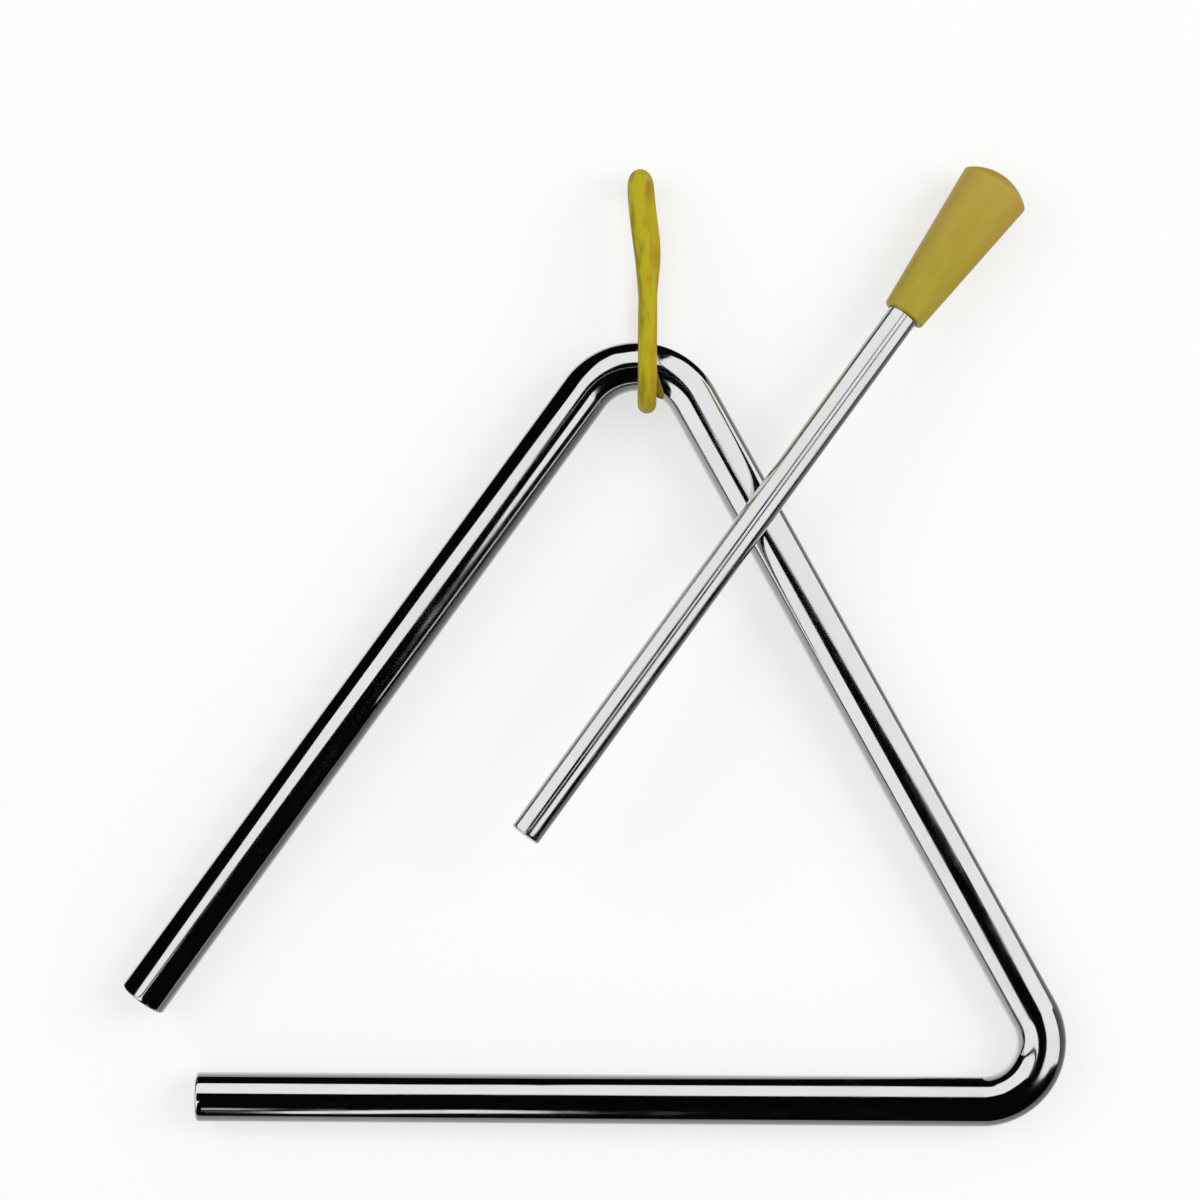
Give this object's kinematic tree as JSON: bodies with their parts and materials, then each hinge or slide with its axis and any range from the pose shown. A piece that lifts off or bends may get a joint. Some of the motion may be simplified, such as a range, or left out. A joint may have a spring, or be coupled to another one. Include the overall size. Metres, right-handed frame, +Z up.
{
  "type": "triangle instrument",
  "caption": "Bent chrome bar in an open-cornered triangle with a rubber hanging loop round its top bend and a loose straight metal beater in a tapered handle lying across one leg.",
  "frame": {"origin": "centre of the base of the whole part's bounding box, on the surface that it lies on", "axes": "+X along the bottom leg towards the closed lower right corner, +Y from the bottom leg towards the loop, +Z up off the surface"},
  "size_m": [0.1526, 0.1552, 0.0234],
  "materials": {
    "bar_chrome": "bright chrome plating on a bent steel bar",
    "loop_rubber": "semi-gloss moulded rubber, olive yellow",
    "rod_chrome": "bright chrome plating on a straight steel rod",
    "handle_plastic": "satin moulded plastic, mustard tan"
  },
  "bodies": {
    "triangle": {"triangle_bar": "bar_chrome"},
    "loop": {"hanging_loop": "loop_rubber"},
    "beater": {"beater_rod": "rod_chrome", "beater_handle": "handle_plastic"}
  },
  "joints": [
    {"name": "loop_swing", "type": "hinge", "parent": "triangle", "child": "loop", "pos_m": [0.00772, 0.04474, 0.00737], "axis": [0.9877, -0.1564, -0.0044], "continuous": true},
    {"name": "beater_lift", "type": "slide", "parent": "triangle", "child": "beater", "axis": [0, 0, 1], "range_m": [0, 0.06]}
  ]
}
